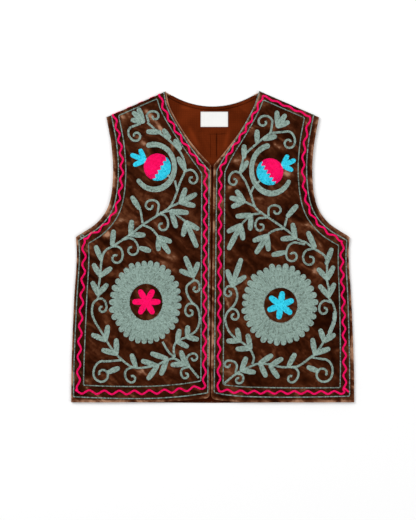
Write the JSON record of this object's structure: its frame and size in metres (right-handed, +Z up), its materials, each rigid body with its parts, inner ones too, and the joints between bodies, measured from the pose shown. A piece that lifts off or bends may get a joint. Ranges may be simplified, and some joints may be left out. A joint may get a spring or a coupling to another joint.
{
  "type": "embroidered waistcoat",
  "caption": "Sleeveless open-front velvet waistcoat laid flat, fronts up, with a V neck, side seams and shoulders folded over to the back.",
  "frame": {"origin": "on the table, under the middle of the garment's box", "axes": "+X to the wearer's left, +Y from the hem to the neck, +Z up from the table"},
  "size_m": [0.5246, 0.5769, 0.0089],
  "materials": {
    "velvet": "dark brown cotton velvet with a crushed nap",
    "cotton_lining": "matte red-brown plain-weave cotton",
    "white_tape": "plain woven off-white tape",
    "teal_thread": "grey-green chain stitch",
    "pink_thread": "bright pink chain stitch",
    "turquoise_thread": "turquoise chain stitch"
  },
  "bodies": {
    "root": {"back_panel": "velvet", "back_lining": "cotton_lining", "back_neck_facing": "cotton_lining", "neck_label": "white_tape", "front_panel_left": "velvet", "front_panel_right": "velvet"}
  },
  "joints": []
}
